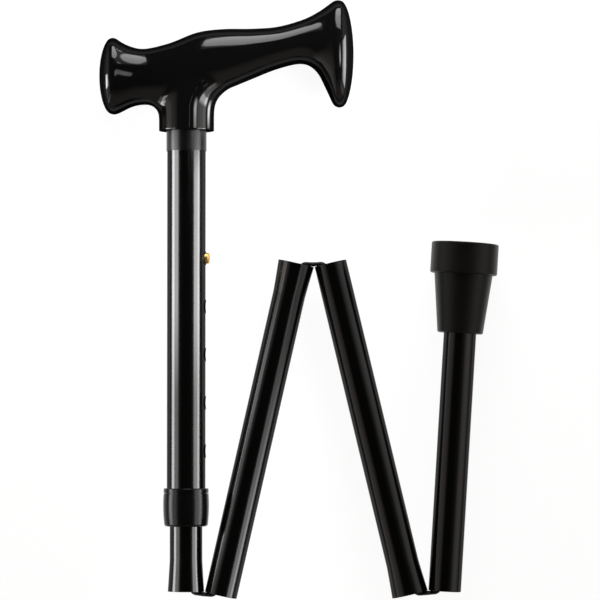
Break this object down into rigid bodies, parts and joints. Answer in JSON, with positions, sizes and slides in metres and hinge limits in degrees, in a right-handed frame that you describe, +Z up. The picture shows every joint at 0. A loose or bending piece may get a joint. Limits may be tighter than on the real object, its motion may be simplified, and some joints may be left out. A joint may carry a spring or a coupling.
{
  "type": "folding cane",
  "caption": "Walking cane whose flared aluminium tubes fold in a zigzag on an elastic cord, with a moulded handle, snap-button height setting, lock collar and rubber tip.",
  "frame": {"origin": "centre of the folded cane on the surface that it lies on", "axes": "+Y along the first section towards the handle, +X towards the last section, +Z up from the table"},
  "size_m": [0.2112, 0.3163, 0.0354],
  "materials": {
    "handle_gloss": "high gloss black moulded plastic",
    "sleeve_plastic": "dull black moulded plastic",
    "tube_black": "glossy black anodised aluminium tube",
    "collar_plastic": "satin charcoal moulded plastic",
    "inner_plastic": "natural nylon",
    "button_brass": "bright brass",
    "spring_steel": "bare steel",
    "bare_aluminium": "bare aluminium",
    "elastic_cord": "black braided elastic cord",
    "tip_rubber": "matte black moulded rubber"
  },
  "bodies": {
    "grip": {"handle": "handle_gloss", "handle_sleeve": "sleeve_plastic", "upper_tube": "tube_black", "thread_bush": "collar_plastic", "collet": "inner_plastic"},
    "collar": {"lock_ring": "collar_plastic"},
    "section_1": {"shaft_tube_1": "tube_black", "guide_plug": "inner_plastic", "button_spring": "spring_steel", "top_anchor": "inner_plastic", "joint_sleeve_1": "bare_aluminium", "cord_1": "elastic_cord"},
    "button": {"snap_button": "button_brass"},
    "bend_1": {"cord_bend_1": "elastic_cord"},
    "section_2": {"shaft_tube_2": "tube_black", "joint_sleeve_2": "bare_aluminium", "cord_2": "elastic_cord"},
    "bend_2": {"cord_bend_2": "elastic_cord"},
    "section_3": {"shaft_tube_3": "tube_black", "joint_sleeve_3": "bare_aluminium", "cord_3": "elastic_cord"},
    "bend_3": {"cord_bend_3": "elastic_cord"},
    "section_4": {"shaft_tube_4": "tube_black", "cord_4": "elastic_cord", "bottom_anchor": "inner_plastic", "tip": "tip_rubber", "tip_washer": "spring_steel"}
  },
  "joints": [
    {"name": "height", "type": "slide", "parent": "grip", "child": "section_1", "axis": [0, -1, 0], "range_m": [0, 0.1016], "deforming": ["snap_button", "button_spring"]},
    {"name": "lock_turn", "type": "hinge", "parent": "grip", "child": "collar", "pos_m": [-0.0594, -0.10923, 0.0177], "axis": [0, 1, 0], "range_deg": [0, 180]},
    {"name": "button_press", "type": "slide", "parent": "section_1", "child": "button", "axis": [-0.9962, 0, -0.0872], "range_m": [0, 0.0036], "stiffness_N_per_m": 800, "springref_m": -0.004, "deforming": ["button_spring"]},
    {"name": "fold_1", "type": "hinge", "parent": "section_1", "child": "bend_1", "pos_m": [-0.05016, -0.15438, 0.0177], "axis": [0, 0, -1], "range_deg": [-9.4, 167.2], "deforming": ["cord_bend_1"]},
    {"name": "seat_1", "type": "slide", "parent": "bend_1", "child": "section_2", "axis": [-0.2215, -0.9751, 0], "range_m": [0, 0.006]},
    {"name": "fold_2", "type": "hinge", "parent": "section_2", "child": "bend_2", "pos_m": [0.00762, 0.01657, 0.0177], "axis": [0, 0, 1], "range_deg": [-8.69, 153.7], "deforming": ["cord_bend_2"]},
    {"name": "seat_2", "type": "slide", "parent": "bend_2", "child": "section_3", "axis": [-0.2334, 0.9724, 0], "range_m": [0, 0.006]},
    {"name": "fold_3", "type": "hinge", "parent": "section_3", "child": "bend_3", "pos_m": [0.0675, -0.15366, 0.0177], "axis": [0, 0, -1], "range_deg": [-13.8, 163], "deforming": ["cord_bend_3"]},
    {"name": "seat_3", "type": "slide", "parent": "bend_3", "child": "section_4", "axis": [-0.061, -0.9981, 0], "range_m": [0, 0.006]}
  ],
  "couplings": [
    {"joint": "fold_2", "follows": "fold_1", "ratio": 0.91926}
  ]
}
